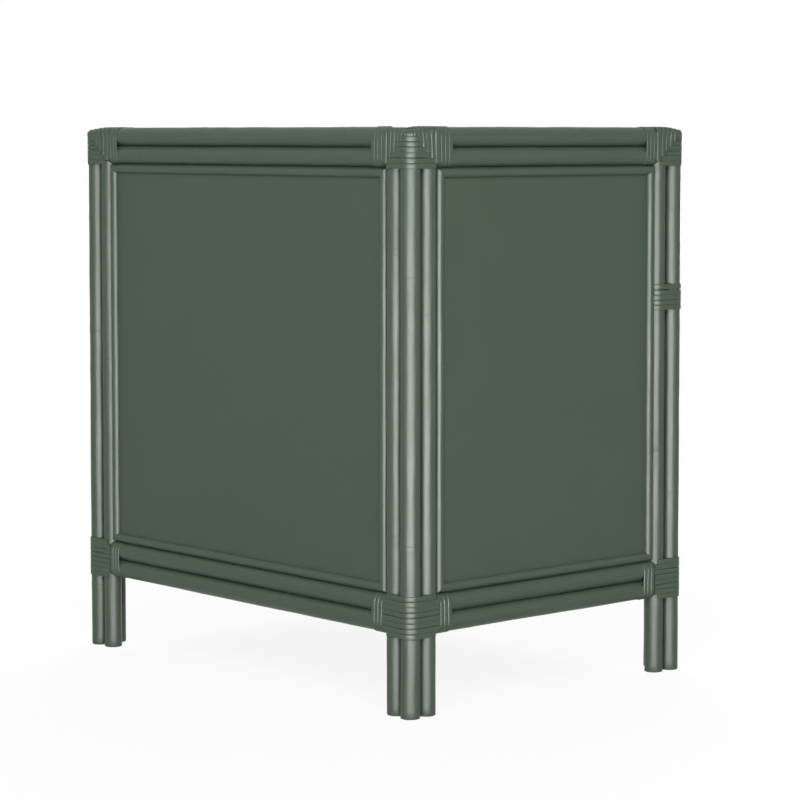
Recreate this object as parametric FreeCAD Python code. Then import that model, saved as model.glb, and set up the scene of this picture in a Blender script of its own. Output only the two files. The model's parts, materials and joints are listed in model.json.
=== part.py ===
import FreeCAD, Part
import math
import os

# A painted rattan nightstand: four posts of three poles, paired rails, flat panels framed by half-round
# beads, bindings of rattan peel at every joint, and one drawer over an open cubby.
# Millimetres, +Z up, the front faces -Y, the origin is on the floor under the middle of the whole piece.

Vec = FreeCAD.Vector
full_turn = 360.0
half_turn = 180.0
quarter_turn = 90.0

# Case, over the outer faces of the poles
case_width = 618.0
case_depth = 446.0
case_height = 660.0

# Poles and rails
corner_pole_d = 22.2
flank_pole_d = 22.0
flank_spacing = 25.0
flank_set_back = 1.8
rail_d = 22.2
pole_gap = 0.2
post_top_drop = 2.0
bottom_rail_under = 92.0
cope_share = 0.45
overrun = 1.0

# Panels, boards and half-round beads
panel_t = 6.0
panel_sink = 7.0
board_t = 9.0
fit_gap = 0.3
bead_w = 10.6
top_board_drop = 4.0
floor_drop = 3.6

# Binding strips
strip_w = 5.45
strip_t = 1.2
strip_pitch = 6.05
strip_lift = 0.15
band_turns = 3
bottom_courses = 8
top_courses = 6
mid_courses = 5
cap_strips = 6
cap_strip_w = 6.0
cap_strip_step = 6.6
cap_edge_room = 1.2
shoulder_r = 6.0
tuck_angle = 40.0
edge_tuck_angle = 24.0
hook_folds = 6
corner_folds = 3
shoulder_folds = 2
tuck_folds = 1
gap_samples = 240

# Battens and drawer supports
batten_t = 10.0
cleat_w = 12.0
cleat_h = 15.0
runner_wall = 12.0
guide_h = 20.0
kicker_w = 15.0

# Drawer
drawer_opening_h = 148.3
drawer_reveal = 2.0
drawer_front_t = 14.0
drawer_side_t = 12.0
drawer_side_h = 124.0
drawer_bottom_t = 5.0
groove_d = 4.0
groove_rise = 6.0
groove_gap = 0.15
side_lift = 2.6
slide_gap = 0.3
side_gap = 0.6
post_clear = 6.9
kicker_clear = 2.0
drawer_back_room = 11.0
bead_inset = 1.5

# Knob and its screw
knob_d = 29.0
knob_len = 22.0
knob_radius_shares = (0.64, 0.64, 0.44, 0.44, 1.0, 1.0, 0.9)
knob_length_shares = (0.0, 0.14, 0.14, 0.46, 0.46, 0.92, 1.0)
screw_d = 4.0
screw_head_d = 8.5
screw_head_h = 2.6
screw_bite = 12.0
screw_gap = 0.05
front_hole_gap = 0.3

# Places that follow from the sizes above
out_x = case_width / 2
out_y = case_depth / 2
corner_r = corner_pole_d / 2
flank_r = flank_pole_d / 2
rail_r = rail_d / 2
corner_x = out_x - corner_r
corner_y = out_y - corner_r
frame_x = out_x - flank_set_back
frame_y = out_y - flank_set_back
flank_x = corner_x - flank_spacing
flank_y = corner_y - flank_spacing
flank_out_x = frame_x - flank_r
flank_out_y = frame_y - flank_r
post_top = case_height - post_top_drop
rail_x = frame_x - rail_r
rail_y = frame_y - rail_r
rail_stack = rail_d + pole_gap
bottom_rails = (bottom_rail_under + rail_r, bottom_rail_under + rail_r + rail_stack)
top_rails = (case_height - rail_r - rail_stack, case_height - rail_r)
mid_rail_z = top_rails[0] - rail_d - drawer_opening_h
wrap_in = rail_r + strip_lift
wrap_out = wrap_in + strip_t
flank_edge_x = flank_x - flank_r
flank_edge_y = flank_y - flank_r
post_reach = out_x - flank_edge_x
flank_reach = out_x - flank_x
cap_reach = post_reach - cap_edge_room
flank_drop = flank_set_back + flank_r - corner_r
flank_span = math.hypot(flank_spacing, flank_drop)
taut_angle = math.degrees(math.atan2(flank_drop, flank_spacing) + math.asin((corner_r - flank_r) / flank_span))
corner_turn = quarter_turn + 2 * taut_angle
crease_angle = corner_turn / corner_folds / 2
crease_share = math.cos(math.radians(crease_angle - taut_angle)) / math.cos(math.radians(crease_angle))
strip_out = (corner_r + strip_lift + strip_t) * crease_share - corner_r
head_low = top_rails[0] - wrap_out
face_x = frame_x - panel_sink
face_y = frame_y - panel_sink
inner_x = face_x - panel_t
inner_y = face_y - panel_t
board_x = rail_x - wrap_out - fit_gap
board_y = rail_y - wrap_out - fit_gap
band_in_x = flank_edge_x - band_turns * strip_pitch - fit_gap
band_in_y = flank_edge_y - band_turns * strip_pitch - fit_gap
batten_front = rail_y - rail_r - pole_gap
batten_back = batten_front - batten_t
support_front = batten_back - wrap_out + rail_r - fit_gap
divider_top = mid_rail_z + board_t / 2
top_board_top = case_height - top_board_drop
floor_top = bottom_rails[1] + rail_r - floor_drop
drawer_half = flank_edge_x - drawer_reveal
drawer_low = mid_rail_z + rail_r + drawer_reveal
drawer_high = top_rails[0] - rail_r - drawer_reveal
drawer_front_in = face_y - drawer_front_t
box_half = flank_edge_x - post_clear
box_low = drawer_low + side_lift
box_high = box_low + drawer_side_h
box_back = board_y - drawer_back_room
bottom_low = box_low + groove_rise
bottom_high = bottom_low + drawer_bottom_t
knob_z = (drawer_low + drawer_high) / 2
case_shift = (face_y + knob_len - out_y - strip_out) / 2

corners = {
    "back_left": (-1, 1),
    "back_right": (1, 1),
    "front_left": (-1, -1),
    "front_right": (1, -1),
}


def save(name, solids):
    """Write one node, its solids moved from the middle of the case to the frame of the whole piece."""
    moved = [solid.translated(Vec(0, case_shift, 0)) for solid in solids]
    shape = moved[0] if len(moved) == 1 else Part.makeCompound(moved)
    shape.exportStep("parts/" + name + ".step")


def across(side):
    """A map for the front or back face: along the face, out of it, up."""
    return lambda u, n, z: Vec(u, side * n, z)


def along(side):
    """A map for the left or right face: along the face, out of it, up."""
    return lambda u, n, z: Vec(side * n, u, z)


def post_faces(signs):
    """The maps for the two faces of a post, the front or back one first, both measured from the middle."""
    sx, sy = signs
    return (lambda u, n, z: Vec(sx * u, sy * n, z)), (lambda u, n, z: Vec(sx * n, sy * u, z))


def box(x_low, x_high, y_low, y_high, z_low, z_high):
    """A block between two corners."""
    size = Vec(x_high - x_low, y_high - y_low, z_high - z_low)
    return Part.makeBox(size.x, size.y, size.z, Vec(x_low, y_low, z_low))


def polygon_prism(points, direction):
    """The solid that a straight-sided outline sweeps along a direction."""
    return Part.Face(Part.makePolygon(points + points[:1])).extrude(direction)


def folds(centre, radius, start, turn, count):
    """The creases of a strip laid round a circle in flats that touch it, from a start angle on."""
    step = math.radians(turn) / count
    reach = radius / math.cos(step / 2)
    angles = [math.radians(start) + step * (index + 0.5) for index in range(count)]
    return [(centre[0] + reach * math.cos(angle), centre[1] + reach * math.sin(angle)) for angle in angles]


def half_chord(radius, height):
    """Half the width of a circle at a height above its centre."""
    return math.sqrt(radius ** 2 - height ** 2)


def head_trim(radius, side):
    """The wedge that comes off the head of a pole on one side, for the strips that turn over it there."""
    far = radius + overrun
    start = side.cross(Vec(0, 0, far))
    profile = [
        (radius - shoulder_r - overrun, post_top + overrun),
        (far, post_top - shoulder_r - overrun),
        (far, post_top + overrun),
    ]
    points = [start + side * n + Vec(0, 0, z) for n, z in profile]
    return polygon_prism(points, start * -2)


def post_pole(radius, x, y, sides):
    """An upright pole from the floor to the post's top, its head trimmed on the given outer sides."""
    pole = Part.makeCylinder(radius, post_top)
    for side in sides:
        pole = pole.cut(head_trim(radius, side))
    return pole.translated(Vec(x, y, 0))


def make_posts():
    """Each post is a corner pole with a flanking pole on each of its two faces."""
    for name, (sx, sy) in corners.items():
        face, side = name.split("_")
        post = "post_" + name + "_"
        out_face, out_side = Vec(0, sy, 0), Vec(sx, 0, 0)
        both = [out_face, out_side]
        save(post + "corner_pole", [post_pole(corner_r, sx * corner_x, sy * corner_y, both)])
        save(post + face + "_pole", [post_pole(flank_r, sx * flank_x, sy * flank_out_y, [out_face])])
        save(post + side + "_pole", [post_pole(flank_r, sx * flank_out_x, sy * flank_y, [out_side])])


def coped_rail(to_case, flank_u, flank_n, rail_n, z):
    """A rail between two flanking poles, its ends hollowed to sit round them."""
    tip = flank_u - cope_share * flank_r
    start = to_case(-tip, rail_n, z)
    rail = Part.makeCylinder(rail_r, 2 * tip, start, to_case(tip, rail_n, z) - start)
    for end in (-1, 1):
        foot = to_case(end * flank_u, flank_n, z - rail_r - overrun)
        rail = rail.cut(Part.makeCylinder(flank_r + pole_gap, rail_d + 2 * overrun, foot))
    return rail


def make_rails():
    """Two stacked rails at the top and the bottom of every face, and one more across the front."""
    faces = {
        "front": (across(-1), flank_x, flank_out_y, rail_y),
        "back": (across(1), flank_x, flank_out_y, rail_y),
        "left": (along(-1), flank_y, flank_out_x, rail_x),
        "right": (along(1), flank_y, flank_out_x, rail_x),
    }
    for face, place in faces.items():
        for level, heights in (("bottom", bottom_rails), ("top", top_rails)):
            for layer, z in zip(("lower", "upper"), heights):
                save(face + "_" + level + "_rail_" + layer, [coped_rail(*place, z)])
    save("front_mid_rail", [coped_rail(*faces["front"], mid_rail_z)])
    low, high = mid_rail_z - rail_r, mid_rail_z + rail_r
    save("mid_rail_batten", [box(-flank_edge_x, flank_edge_x, -batten_front, -batten_back, low, high)])


def bead_frame(to_case, u_half, z_low, z_high, n_face):
    """Four half-round sticks laid on a face as a frame, mitred at the corners."""
    bead_h = bead_w / 2
    out = to_case(0, bead_h, 0)
    low, high = z_low + bead_w, z_high - bead_w
    inner = u_half - bead_w
    runs = []
    for edge_z, mitre_z, axis_z in ((z_low, low, z_low + bead_h), (z_high, high, z_high - bead_h)):
        outline = [(-u_half, edge_z), (u_half, edge_z), (inner, mitre_z), (-inner, mitre_z)]
        runs.append((outline, (-u_half, axis_z), (u_half, axis_z)))
    for side in (-1, 1):
        axis_u = side * (u_half - bead_h)
        outline = [(u_half, z_low), (inner, low), (inner, high), (u_half, z_high)]
        outline = [(side * u, z) for u, z in outline]
        runs.append((outline, (axis_u, z_low), (axis_u, z_high)))
    sticks = []
    for outline, start, end in runs:
        blank = polygon_prism([to_case(u, n_face, z) for u, z in outline], out)
        base = to_case(start[0], n_face, start[1])
        run = to_case(end[0], n_face, end[1]) - base
        sticks.append(blank.common(Part.makeCylinder(bead_h, run.Length, base, run)))
    return sticks


def notched_panel(to_case, u_half, u_notch, n_in):
    """A panel between two pairs of rails, its corners notched round the bands beside the posts."""
    half = []
    for z, side in ((bottom_rails[1], 1), (top_rails[0], -1)):
        edge, notch = z + side * (rail_r + fit_gap), z + side * (wrap_out + fit_gap)
        half += [(u_notch, edge), (u_notch, notch), (u_half, notch)][::side]
    outline = half + [(-u, z) for u, z in reversed(half)]
    return polygon_prism([to_case(u, n_in, z) for u, z in outline], to_case(0, panel_t, 0))


def make_panels():
    """Flat panels sunk in the back and the sides, each framed by beads against its poles and rails."""
    face_height = rail_r - panel_sink
    pole_side = half_chord(flank_r, flank_r - panel_sink) + fit_gap
    rail_side = half_chord(wrap_out, face_height) + fit_gap
    bead_low = bottom_rails[1] + rail_side
    bead_high = top_rails[0] - rail_side
    back_half = flank_edge_x - fit_gap
    side_half = flank_edge_y - fit_gap
    save("back_panel", [notched_panel(across(1), back_half, band_in_x, inner_y)])
    save("back_panel_beads", bead_frame(across(1), flank_x - pole_side, bead_low, bead_high, face_y))
    for name, side in (("left", -1), ("right", 1)):
        save(name + "_panel", [notched_panel(along(side), side_half, band_in_y, inner_x)])
        beads = bead_frame(along(side), flank_y - pole_side, bead_low, bead_high, face_x)
        save(name + "_panel_beads", beads)


def divider_outline():
    """Half the outline of the board under the drawer, notched round posts and bands, from front to back."""
    post_x = frame_x - flank_pole_d - fit_gap
    panel_x = inner_x - fit_gap
    side_y = flank_edge_y - fit_gap
    return [
        (band_in_x, pole_gap - batten_back),
        (band_in_x, -support_front),
        (post_x, -support_front),
        (post_x, -side_y),
        (panel_x, -side_y),
        (panel_x, side_y),
        (post_x, side_y),
        (post_x, board_y),
        (flank_edge_x - fit_gap, board_y),
        (flank_edge_x - fit_gap, inner_y - fit_gap),
    ]


def make_boards():
    """The top, the cubby's floor and the board under the drawer, with the cleats that carry them."""
    top_low = top_board_top - board_t
    floor_low = floor_top - board_t
    save("top_board", [box(-board_x, board_x, -board_y, board_y, top_low, top_board_top)])
    save("floor_board", [box(-board_x, board_x, -board_y, board_y, floor_low, floor_top)])
    right = [Vec(x, y, divider_top - board_t) for x, y in divider_outline()]
    left = [Vec(-point.x, point.y, point.z) for point in reversed(right)]
    save("divider_board", [polygon_prism(right + left, Vec(0, 0, board_t))])
    cleat_in = board_y - cleat_w
    for name, under in (("top_cleats", top_low), ("floor_cleats", floor_low)):
        back = box(-box_half, box_half, cleat_in, board_y, under - cleat_h, under)
        front = box(-box_half, box_half, -board_y, -cleat_in, under - cleat_h, under)
        save(name, [back, front])
    side_y = flank_edge_y - fit_gap
    under = divider_top - board_t
    cleats = []
    for side in (-1, 1):
        low, high = sorted((side * (inner_x - cleat_w), side * inner_x))
        cleats.append(box(low, high, -side_y, side_y, under - cleat_h, under))
    save("divider_cleats", cleats)


def strip_arm(end, lift):
    """The last points of a strip drawn taut over a corner pole and a flanking pole, as reach and height."""
    reach, turn = end
    if reach < flank_reach:
        slope = math.radians(taut_angle)
        crest = (corner_r + lift) / math.cos(slope) - corner_r
        return [(reach, crest - (reach - corner_r) * math.tan(slope))]
    depth, radius = -flank_set_back - flank_r, flank_r + lift
    creases = folds((flank_reach, depth), radius, quarter_turn - taut_angle, taut_angle - turn, tuck_folds)
    last = math.radians(quarter_turn - turn)
    return creases + [(reach + radius * math.cos(last), depth + radius * math.sin(last))]


def course(signs, face_end, side_end, z):
    """One strip laid flat round the outside of a post; each end has its reach and its turn round a pole."""
    sx, sy = signs

    def edge(lift):
        face_run = [(out_x - u, out_y + n) for u, n in strip_arm(face_end, lift)]
        side_run = [(out_x + n, out_y - u) for u, n in strip_arm(side_end, lift)]
        start = quarter_turn + taut_angle
        corner_run = folds((corner_x, corner_y), corner_r + lift, start, -corner_turn, corner_folds)
        return face_run[::-1] + corner_run + side_run

    outline = edge(strip_lift) + list(reversed(edge(strip_lift + strip_t)))
    return polygon_prism([Vec(sx * x, sy * y, z) for x, y in outline], Vec(0, 0, strip_w))


def row_ends(count):
    """The end of each row of a binding: the outermost rows turn in round the pole, the others lie flat."""
    inner = [(post_reach, 0)] * (count - 2)
    outer = [(flank_reach, edge_tuck_angle)]
    return outer + inner + outer


def pair_hook(to_case, u, rail_n, heights):
    """One turn of a band round two stacked rails, open along the back where the strip steps on."""
    low, high = heights

    def edge(radius):
        over = folds((rail_n, high), radius, half_turn, -half_turn, hook_folds)
        under = folds((rail_n, low), radius, 0, -half_turn, hook_folds)
        return [(rail_n - radius, high)] + over + under + [(rail_n - radius, low)]

    outline = edge(wrap_in) + list(reversed(edge(wrap_out)))
    return polygon_prism([to_case(u, n, z) for n, z in outline], to_case(strip_w, 0, 0))


def single_hook(to_case, u, rail_n, rail_z, back_n):
    """One turn of a band round the front rail and the batten behind it, open along the back."""
    tail = back_n - strip_t

    def edge(radius):
        front = folds((rail_n, rail_z), radius, quarter_turn, -half_turn, hook_folds)
        return [(tail, rail_z + radius)] + front + [(tail, rail_z - radius)]

    outline = edge(wrap_in) + list(reversed(edge(wrap_out)))
    return polygon_prism([to_case(u, n, z) for n, z in outline], to_case(strip_w, 0, 0))


def lap(to_case, u, step, n_back, z_low, z_high):
    """The slanted run behind the rails that carries a strip from one turn to the next."""
    outline = [(u, z_high), (u + strip_w, z_high), (u + step + strip_w, z_low), (u + step, z_low)]
    return polygon_prism([to_case(a, n_back, z) for a, z in outline], to_case(0, strip_t, 0))


def band(to_case, hook, flank_edge, n_back, z_low, z_high):
    """A strip wound round rails beside a post as one unbroken piece, starting at the post."""
    first = flank_edge - strip_pitch
    starts = [first - turn * strip_pitch for turn in range(band_turns)]
    pieces = [hook(u) for u in starts]
    pieces += [lap(to_case, u, -strip_pitch, n_back, z_low, z_high) for u in starts[:-1]]
    return pieces[0].fuse(pieces[1:]).removeSplitter().Solids[0]


def pair_band(to_case, flank_edge, rail_n, heights):
    """A band round a pair of stacked rails."""

    def hook(u):
        return pair_hook(to_case, u, rail_n, heights)

    return band(to_case, hook, flank_edge, rail_n - wrap_out, *heights)


def least_turn_gap(height):
    """The least gap between one turn and the next, over points on the facing edges of both runs."""
    steps = [index / gap_samples for index in range(gap_samples + 1)]
    runs = [[Vec(0, wrap_out, height * share) for share in steps]]
    runs.append([Vec(strip_pitch * share, -wrap_out, height * (1 - share)) for share in steps])
    gaps = []
    for run in runs:
        leading = [point + Vec(strip_w, 0, 0) for point in run]
        trailing = [point + Vec(strip_pitch, 0, 0) for point in run]
        gaps.append(min((a - b).Length for a in leading for b in trailing))
    return min(gaps)


def cap_strip(to_case, out_u, out_n, reach, z_end, z_top):
    """A strip that comes up a face of the post, turns over its shoulder and runs inwards across the top."""
    u = out_u - reach - cap_strip_w
    centre = (out_n + strip_lift - shoulder_r, z_top - shoulder_r)

    def edge(radius):
        turn = folds(centre, radius, 0, quarter_turn, shoulder_folds)
        return [(centre[0] + radius, z_end)] + turn + [(out_n - flank_pole_d, centre[1] + radius)]

    outline = edge(shoulder_r) + list(reversed(edge(shoulder_r + strip_t)))
    return polygon_prism([to_case(u, n, z) for n, z in outline], to_case(cap_strip_w, 0, 0))


def post_bands(signs, heights):
    """The two bands beside a post, one on each of its faces."""
    on_face, on_side = post_faces(signs)
    return [
        pair_band(on_face, flank_edge_x, rail_y, heights),
        pair_band(on_side, flank_edge_y, rail_x, heights),
    ]


def bottom_courses_at(signs):
    """Strips laid round the outside of one post over the bottom rails."""
    start = sum(bottom_rails) / 2 - bottom_courses * strip_pitch / 2
    ends = row_ends(bottom_courses)
    return [course(signs, end, end, start + row * strip_pitch) for row, end in enumerate(ends)]


def top_courses_at(signs):
    """Strips laid round the head of one post, each shorter than the one under it."""
    ends = [(cap_reach - row * cap_strip_step, 0) for row in range(top_courses)]
    ends[0] = (flank_reach, edge_tuck_angle)
    return [course(signs, end, end, head_low + row * strip_pitch) for row, end in enumerate(ends)]


def mid_courses_at(signs):
    """Strips laid round a front post over the middle rail, turned in behind its side pole."""
    start = mid_rail_z - mid_courses * strip_pitch / 2
    tucked = (flank_reach, tuck_angle)
    ends = row_ends(mid_courses)
    return [course(signs, end, tucked, start + row * strip_pitch) for row, end in enumerate(ends)]


def cap_strips_at(signs):
    """Strips over the head of one post, those of the two sides crossing over those of the front or back."""
    on_face, on_side = post_faces(signs)
    face_top = post_top + strip_lift
    side_top = face_top + strip_t + strip_lift
    solids = []
    for index in range(1, cap_strips + 1):
        inset = cap_reach - index * cap_strip_step
        z_end = head_low + index * strip_pitch
        back = flank_set_back if inset > flank_reach - flank_r else 0
        solids.append(cap_strip(on_face, out_x, out_y - back, inset, z_end, face_top))
        solids.append(cap_strip(on_side, out_y, out_x - back, inset, z_end, side_top))
    return solids


def mid_band_at(signs):
    """The band round the middle rail and its batten beside one front post."""
    on_face = post_faces(signs)[0]
    back_n = batten_back - strip_lift

    def hook(u):
        return single_hook(on_face, u, rail_y, mid_rail_z, back_n)

    return band(on_face, hook, flank_edge_x, back_n - strip_t, mid_rail_z - wrap_in, mid_rail_z + wrap_in)


def make_bindings():
    """The bindings at the foot and the head of every post and at the middle of the two front ones."""
    posts = list(corners.values())
    front_posts = [signs for signs in posts if signs[1] < 0]
    save("bottom_courses", [strip for signs in posts for strip in bottom_courses_at(signs)])
    save("bottom_rail_bands", [strip for signs in posts for strip in post_bands(signs, bottom_rails)])
    save("top_courses", [strip for signs in posts for strip in top_courses_at(signs)])
    save("top_cap_strips", [strip for signs in posts for strip in cap_strips_at(signs)])
    save("top_rail_bands", [strip for signs in posts for strip in post_bands(signs, top_rails)])
    save("mid_courses", [strip for signs in front_posts for strip in mid_courses_at(signs)])
    save("mid_rail_bands", [mid_band_at(signs) for signs in front_posts])
    print("least gap between turns, rail pairs: %.2f mm" % least_turn_gap(rail_stack))
    print("least gap between turns, middle rail: %.2f mm" % least_turn_gap(2 * wrap_in))


def make_drawer_supports():
    """Runners with guides and rear stops on the divider board, and kickers under the top's cleats."""
    runner_in = box_half - drawer_side_t
    runner_out = box_half + side_gap + runner_wall
    runner_top = box_low - slide_gap
    stop_front = box_back + slide_gap
    kicker_low = box_high + kicker_clear
    kicker_high = top_board_top - board_t - cleat_h
    runners = []
    kickers = []
    for side in (-1, 1):
        profile = [
            (runner_in, divider_top),
            (runner_out, divider_top),
            (runner_out, runner_top + guide_h),
            (box_half + side_gap, runner_top + guide_h),
            (box_half + side_gap, runner_top),
            (runner_in, runner_top),
        ]
        points = [Vec(side * x, -support_front, z) for x, z in profile]
        runner = polygon_prism(points, Vec(0, board_y + support_front, 0))
        low, high = sorted((side * runner_in, side * runner_out))
        stop = box(low, high, stop_front, board_y, divider_top, runner_top + guide_h)
        runners.append(runner.fuse(stop).removeSplitter().Solids[0])
        low, high = sorted((side * (box_half - kicker_w), side * box_half))
        kickers.append(box(low, high, -board_y, board_y, kicker_low, kicker_high))
    save("drawer_runners", runners)
    save("drawer_kickers", kickers)


def make_drawer():
    """An inset drawer: framed front, grooved sides, a back that stands on the bottom board."""
    inner_half = box_half - drawer_side_t
    groove_half = inner_half + groove_d
    groove_low, groove_high = bottom_low - groove_gap, bottom_high + groove_gap
    bottom_half = groove_half - groove_gap
    groove_front = -(drawer_front_in + groove_d)
    front = box(-drawer_half, drawer_half, -face_y, -drawer_front_in, drawer_low, drawer_high)
    hole_start = Vec(0, overrun - drawer_front_in, knob_z)
    hole_len = drawer_front_t + 2 * overrun
    bore = Part.makeCylinder(screw_d / 2 + front_hole_gap, hole_len, hole_start, Vec(0, -1, 0))
    slot = box(-groove_half, groove_half, groove_front, overrun - drawer_front_in, groove_low, groove_high)
    save("drawer_front", [front.cut(bore).cut(slot)])
    bead_low, bead_high = drawer_low + bead_inset, drawer_high - bead_inset
    beads = bead_frame(across(-1), drawer_half - bead_inset, bead_low, bead_high, face_y)
    save("drawer_front_beads", beads)
    groove_end = box_back + overrun
    groove = box(-groove_half, groove_half, groove_front, groove_end, groove_low, groove_high)
    for name, side in (("left", -1), ("right", 1)):
        low, high = sorted((side * inner_half, side * box_half))
        board = box(low, high, -drawer_front_in, box_back, box_low, box_high)
        save("drawer_" + name + "_side", [board.cut(groove)])
    bottom_front = groove_front + groove_gap
    save("drawer_bottom", [box(-bottom_half, bottom_half, bottom_front, box_back, bottom_low, bottom_high)])
    back_front = box_back - drawer_side_t
    save("drawer_back", [box(-inner_half, inner_half, back_front, box_back, bottom_high, box_high)])


def make_knob():
    """A turned knob on the drawer front, and the screw that holds it from inside."""
    foot = Vec(0, -face_y, knob_z)
    tip = Vec(0, -face_y - knob_len, knob_z)
    outline = [foot]
    for radius_share, length_share in zip(knob_radius_shares, knob_length_shares):
        outline.append(foot + Vec(radius_share * knob_d / 2, -length_share * knob_len, 0))
    outline.append(tip)
    profile = Part.Face(Part.makePolygon(outline + outline[:1]))
    knob = profile.revolve(foot, Vec(0, 1, 0), full_turn)
    screw_hole = Part.makeCylinder(screw_d / 2 + screw_gap, screw_bite + screw_gap, foot, Vec(0, -1, 0))
    save("drawer_knob", [knob.cut(screw_hole)])
    seat = Vec(0, -drawer_front_in, knob_z)
    head = Part.makeCylinder(screw_head_d / 2, screw_head_h, seat, Vec(0, 1, 0))
    shank = Part.makeCylinder(screw_d / 2, drawer_front_t + screw_bite, seat, Vec(0, -1, 0))
    save("knob_screw", [head.fuse(shank).removeSplitter().Solids[0]])


os.makedirs("parts", exist_ok=True)
make_posts()
make_rails()
make_panels()
make_boards()
make_bindings()
make_drawer_supports()
make_drawer()
make_knob()
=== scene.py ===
"""Looks of a painted rattan nightstand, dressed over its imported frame.

The frame gives every pole, rail, board and bead its place. This script makes the rattan's natural stray, the
laid and wound strips of peel, the turned knob, the paint and the wood, and sets up the studio.
"""

import json
import logging
import math
import random
from abc import ABC, abstractmethod
from collections.abc import Callable, Iterator, Sequence
from contextlib import contextmanager
from dataclasses import dataclass
from enum import Enum

import bmesh
import bpy
from mathutils import Matrix, Vector, noise

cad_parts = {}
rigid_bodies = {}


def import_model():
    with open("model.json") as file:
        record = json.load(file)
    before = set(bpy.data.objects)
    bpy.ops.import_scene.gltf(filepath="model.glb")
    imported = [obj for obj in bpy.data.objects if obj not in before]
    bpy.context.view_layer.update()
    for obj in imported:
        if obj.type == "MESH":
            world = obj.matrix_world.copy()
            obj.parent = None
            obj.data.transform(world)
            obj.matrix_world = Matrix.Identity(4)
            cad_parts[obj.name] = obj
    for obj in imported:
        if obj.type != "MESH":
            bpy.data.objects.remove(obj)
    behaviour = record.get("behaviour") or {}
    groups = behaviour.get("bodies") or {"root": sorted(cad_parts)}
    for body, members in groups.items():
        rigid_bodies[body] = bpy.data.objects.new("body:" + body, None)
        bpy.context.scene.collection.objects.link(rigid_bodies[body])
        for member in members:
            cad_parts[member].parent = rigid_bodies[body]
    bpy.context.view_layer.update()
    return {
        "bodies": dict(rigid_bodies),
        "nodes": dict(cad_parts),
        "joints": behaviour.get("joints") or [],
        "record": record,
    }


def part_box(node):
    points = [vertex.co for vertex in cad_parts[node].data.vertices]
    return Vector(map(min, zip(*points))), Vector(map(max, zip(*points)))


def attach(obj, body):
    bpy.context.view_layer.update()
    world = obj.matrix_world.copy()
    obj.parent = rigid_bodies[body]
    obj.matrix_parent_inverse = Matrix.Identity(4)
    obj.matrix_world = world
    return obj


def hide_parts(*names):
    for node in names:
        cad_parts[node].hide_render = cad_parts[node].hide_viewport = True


LOG = logging.getLogger("nightstand")
MM = 0.001
NOISE_SEED = 7
HALF_TURN = math.pi
QUARTER_TURN = math.pi / 2
NOISE_MIDDLE = 0.5
POLE_DRIFT = (7.31, 3.17, 1.73)
PEEL_DRIFT = (1.37, 2.11, 0.77)
WHITE = (1.0, 1.0, 1.0, 1.0)
PALE = (0.86, 0.86, 0.86, 1.0)
Piece = bpy.types.Object
Colour = tuple[float, float, float]


class Axis(Enum):
    """A direction of the frame."""

    X = (1.0, 0.0, 0.0)
    Y = (0.0, 1.0, 0.0)
    Z = (0.0, 0.0, 1.0)

    @property
    def vector(self) -> Vector:
        """The direction as a vector."""
        return Vector(self.value)

    @property
    def index(self) -> int:
        """The place of this direction's number in a vector."""
        return self.value.index(1.0)

    def grain(self, along: float, across: float) -> tuple[float, float, float]:
        """Marks per metre on each axis, for marks that run along this one.

        Args:
            along: Marks per metre in this direction.
            across: Marks per metre in the other two directions.

        Returns:
            The three numbers in the order of the frame's axes.
        """
        return tuple(along if axis is self else across for axis in Axis)


class Corner(Enum):
    """A post of the case, by the signs of its place seen from the middle."""

    BACK_LEFT = (-1, 1)
    BACK_RIGHT = (1, 1)
    FRONT_LEFT = (-1, -1)
    FRONT_RIGHT = (1, -1)

    @property
    def word(self) -> str:
        """The corner's name as the nodes write it."""
        return self.name.lower()

    @property
    def is_front(self) -> bool:
        """Whether the post stands at the drawer's side of the case."""
        return self.value[1] < 0

    @property
    def mirror(self) -> Matrix:
        """The turn that brings a strip from the master corner to this one."""
        return Matrix.Diagonal((*self.value, 1.0, 1.0))


class Slot(Enum):
    """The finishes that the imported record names."""

    RATTAN = "painted_rattan"
    BOARD = "painted_board"
    WOOD = "bare_wood"
    STEEL = "steel_screw"


def centre(node: str) -> Vector:
    """The middle of a node's box."""
    low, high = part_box(node)
    return (low + high) / 2


def span(node: str) -> Vector:
    """The size of a node's box."""
    low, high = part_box(node)
    return high - low


def drift(seed: int, steps: Sequence[float]) -> Vector:
    """Where in the noise a piece reads its stray, by its seed."""
    return Vector([seed * step for step in steps])


class Signal:
    """A number that varies over a surface. Arithmetic on it adds Math nodes."""

    def __init__(self, graph: "Graph", socket: bpy.types.NodeSocket) -> None:
        """Keeps the graph and the socket that gives the number."""
        self.graph = graph
        self.socket = socket

    def _math(self, operation: str, first: "Signal | float", second: "Signal | float") -> "Signal":
        """Adds one Math node.

        Args:
            operation: The node's operation.
            first: Its first number.
            second: Its second number.

        Returns:
            The node's result.
        """
        made = self.graph.node("ShaderNodeMath", {"operation": operation}, {0: first, 1: second})
        return Signal(self.graph, made.outputs[0])

    def __add__(self, other: "Signal | float") -> "Signal":
        """Sum."""
        return self._math("ADD", self, other)

    def __radd__(self, other: float) -> "Signal":
        """Sum with a plain number on the left."""
        return self._math("ADD", other, self)

    def __sub__(self, other: "Signal | float") -> "Signal":
        """Difference."""
        return self._math("SUBTRACT", self, other)

    def __rsub__(self, other: float) -> "Signal":
        """Difference from a plain number."""
        return self._math("SUBTRACT", other, self)

    def __mul__(self, other: "Signal | float") -> "Signal":
        """Product."""
        return self._math("MULTIPLY", self, other)

    def __rmul__(self, other: float) -> "Signal":
        """Product with a plain number on the left."""
        return self._math("MULTIPLY", other, self)


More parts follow.
